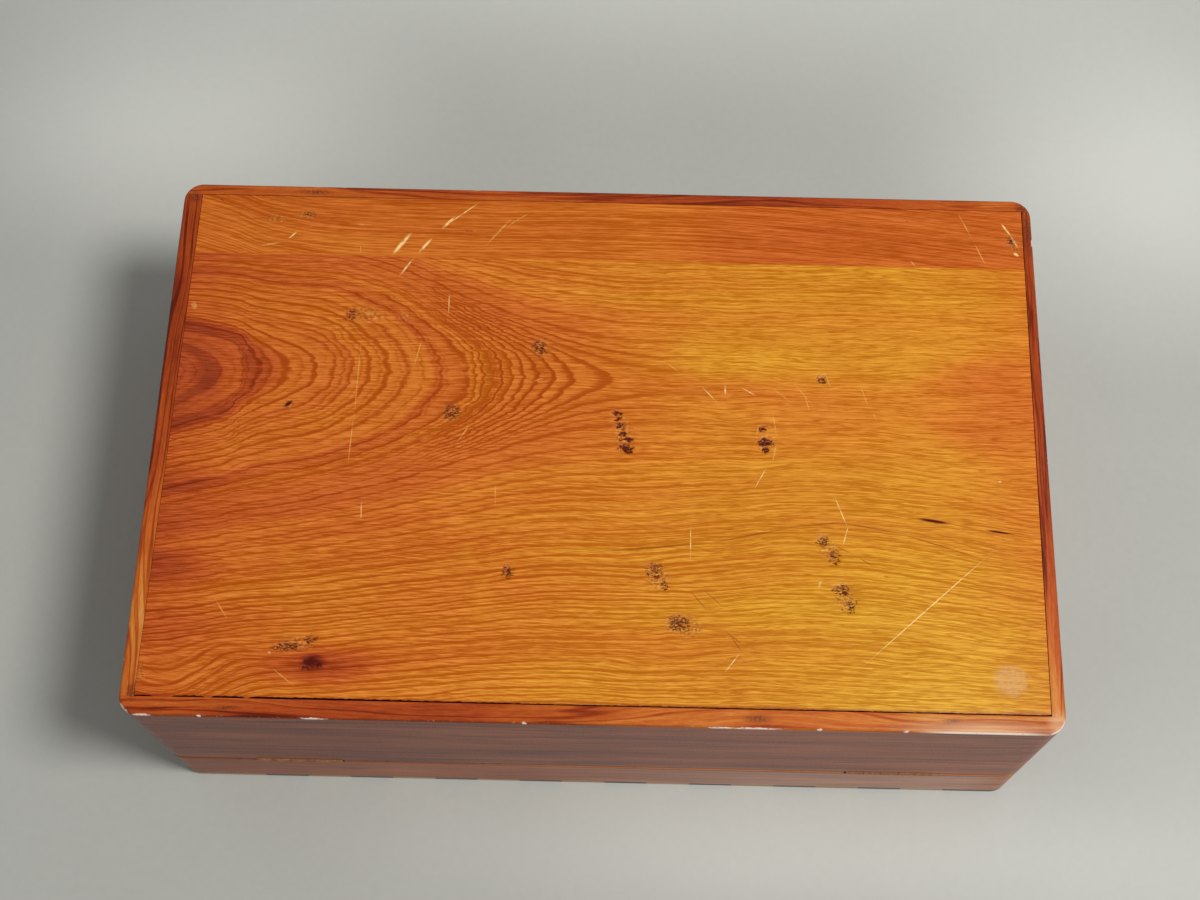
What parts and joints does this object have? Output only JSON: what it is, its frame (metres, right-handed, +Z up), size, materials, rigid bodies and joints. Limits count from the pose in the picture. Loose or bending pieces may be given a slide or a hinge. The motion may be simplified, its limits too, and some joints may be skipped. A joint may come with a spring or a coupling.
{
  "type": "marquetry box",
  "caption": "Oblong wooden box with rounded corners, rebated bottom boards and a hinged lid faced with marquetry, stored upside down on its lid.",
  "frame": {"origin": "centre of the lid's outer marquetry face, which lies on the table, because the box is stored upside down as it was pictured", "axes": "+X along the long side, +Y from the hinged back towards the front, +Z up from the lid to the bottom boards. Turned half a turn about X, the box stands on its bottom boards as in use."},
  "size_m": [0.25, 0.1605, 0.078],
  "materials": {
    "case_wood": "polished red-brown hardwood, worn at the edges",
    "board_wood": "varnished orange-brown board with a bold curved figure and scuffs",
    "strip_wood": "varnished straight-grained strip, redder than the board",
    "panel_wood": "plain oiled wood",
    "marquetry_light": "pale veneer, waxed",
    "marquetry_dark": "dark brown veneer, waxed",
    "marquetry_field": "figured red-brown veneer, waxed",
    "marquetry_ground": "mid-brown veneer, waxed",
    "hinge_brass": "aged brass, tarnished",
    "pin_brass": "aged brass wire",
    "screw_brass": "aged brass, slotted heads"
  },
  "bodies": {
    "lid": {"lid_back_rail": "case_wood", "lid_front_rail": "case_wood", "lid_left_rail": "case_wood", "lid_right_rail": "case_wood", "lid_panel": "panel_wood", "border_light_blocks": "marquetry_light", "border_dark_blocks": "marquetry_dark", "stringing_light": "marquetry_light", "stringing_dark": "marquetry_dark", "field_veneer": "marquetry_field", "corner_diamonds": "marquetry_light", "medallion_ring": "marquetry_light", "medallion_ground": "marquetry_ground", "star_light_halves": "marquetry_light", "star_dark_halves": "marquetry_dark", "left_hinge_lid_leaf": "hinge_brass", "left_hinge_pin": "pin_brass", "left_hinge_lid_screws": "screw_brass", "right_hinge_lid_leaf": "hinge_brass", "right_hinge_pin": "pin_brass", "right_hinge_lid_screws": "screw_brass"},
    "case": {"case_back_wall": "case_wood", "case_front_wall": "case_wood", "case_left_wall": "case_wood", "case_right_wall": "case_wood", "bottom_board": "board_wood", "bottom_board_strip": "strip_wood", "left_hinge_case_leaf": "hinge_brass", "right_hinge_case_leaf": "hinge_brass", "left_hinge_case_screws": "screw_brass", "right_hinge_case_screws": "screw_brass"}
  },
  "joints": [
    {"name": "lid_hinge", "type": "hinge", "parent": "lid", "child": "case", "pos_m": [0, -0.0792, 0.024], "axis": [1, 0, 0], "range_deg": [0, 104]}
  ]
}
